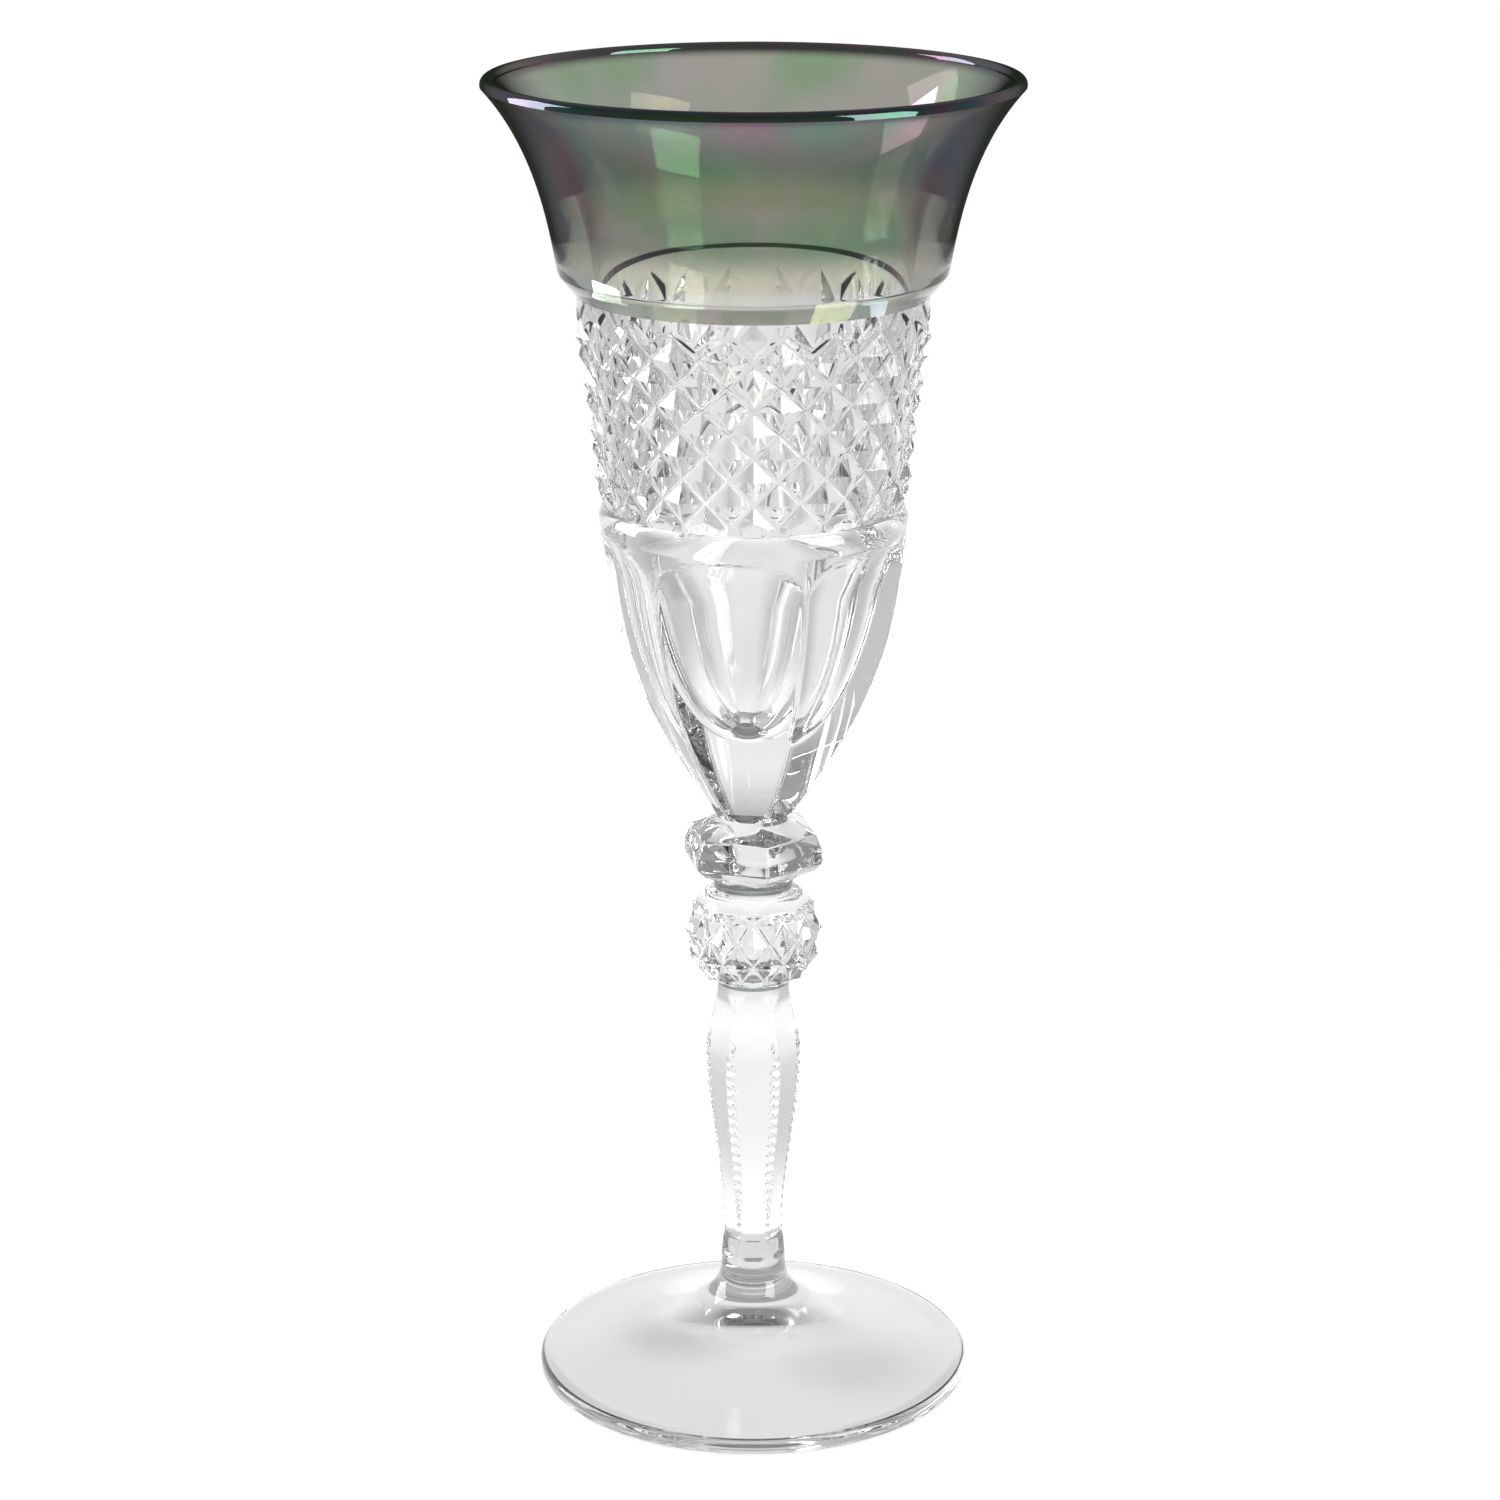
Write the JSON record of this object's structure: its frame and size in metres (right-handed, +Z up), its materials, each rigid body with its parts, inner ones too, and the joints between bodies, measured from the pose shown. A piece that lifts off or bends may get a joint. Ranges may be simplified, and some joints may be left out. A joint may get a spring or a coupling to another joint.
{
  "type": "champagne glass",
  "caption": "Stemmed champagne glass of pressed clear crystal, with a flared smoke-green lip, a diamond-point band, a hexagonal cup and a notched stem on a round foot.",
  "frame": {"origin": "middle of the foot's underside, on the surface that the glass stands on", "axes": "+Z up along the glass's axis, -Y towards the viewer, +X to the viewer's right"},
  "size_m": [0.0778, 0.0778, 0.2],
  "materials": {
    "clear_crystal": "fire-polished clear crystal, very slightly grey, with soft pressed edges",
    "smoke_lustre": "fired metallic lustre film, smoke green, with a faint oily play of colour at the rim"
  },
  "bodies": {
    "root": {"foot": "clear_crystal", "baluster_stem": "clear_crystal", "diamond_ball": "clear_crystal", "hexagonal_knop": "clear_crystal", "bowl": "clear_crystal", "lustre_lip": "smoke_lustre"}
  },
  "joints": []
}
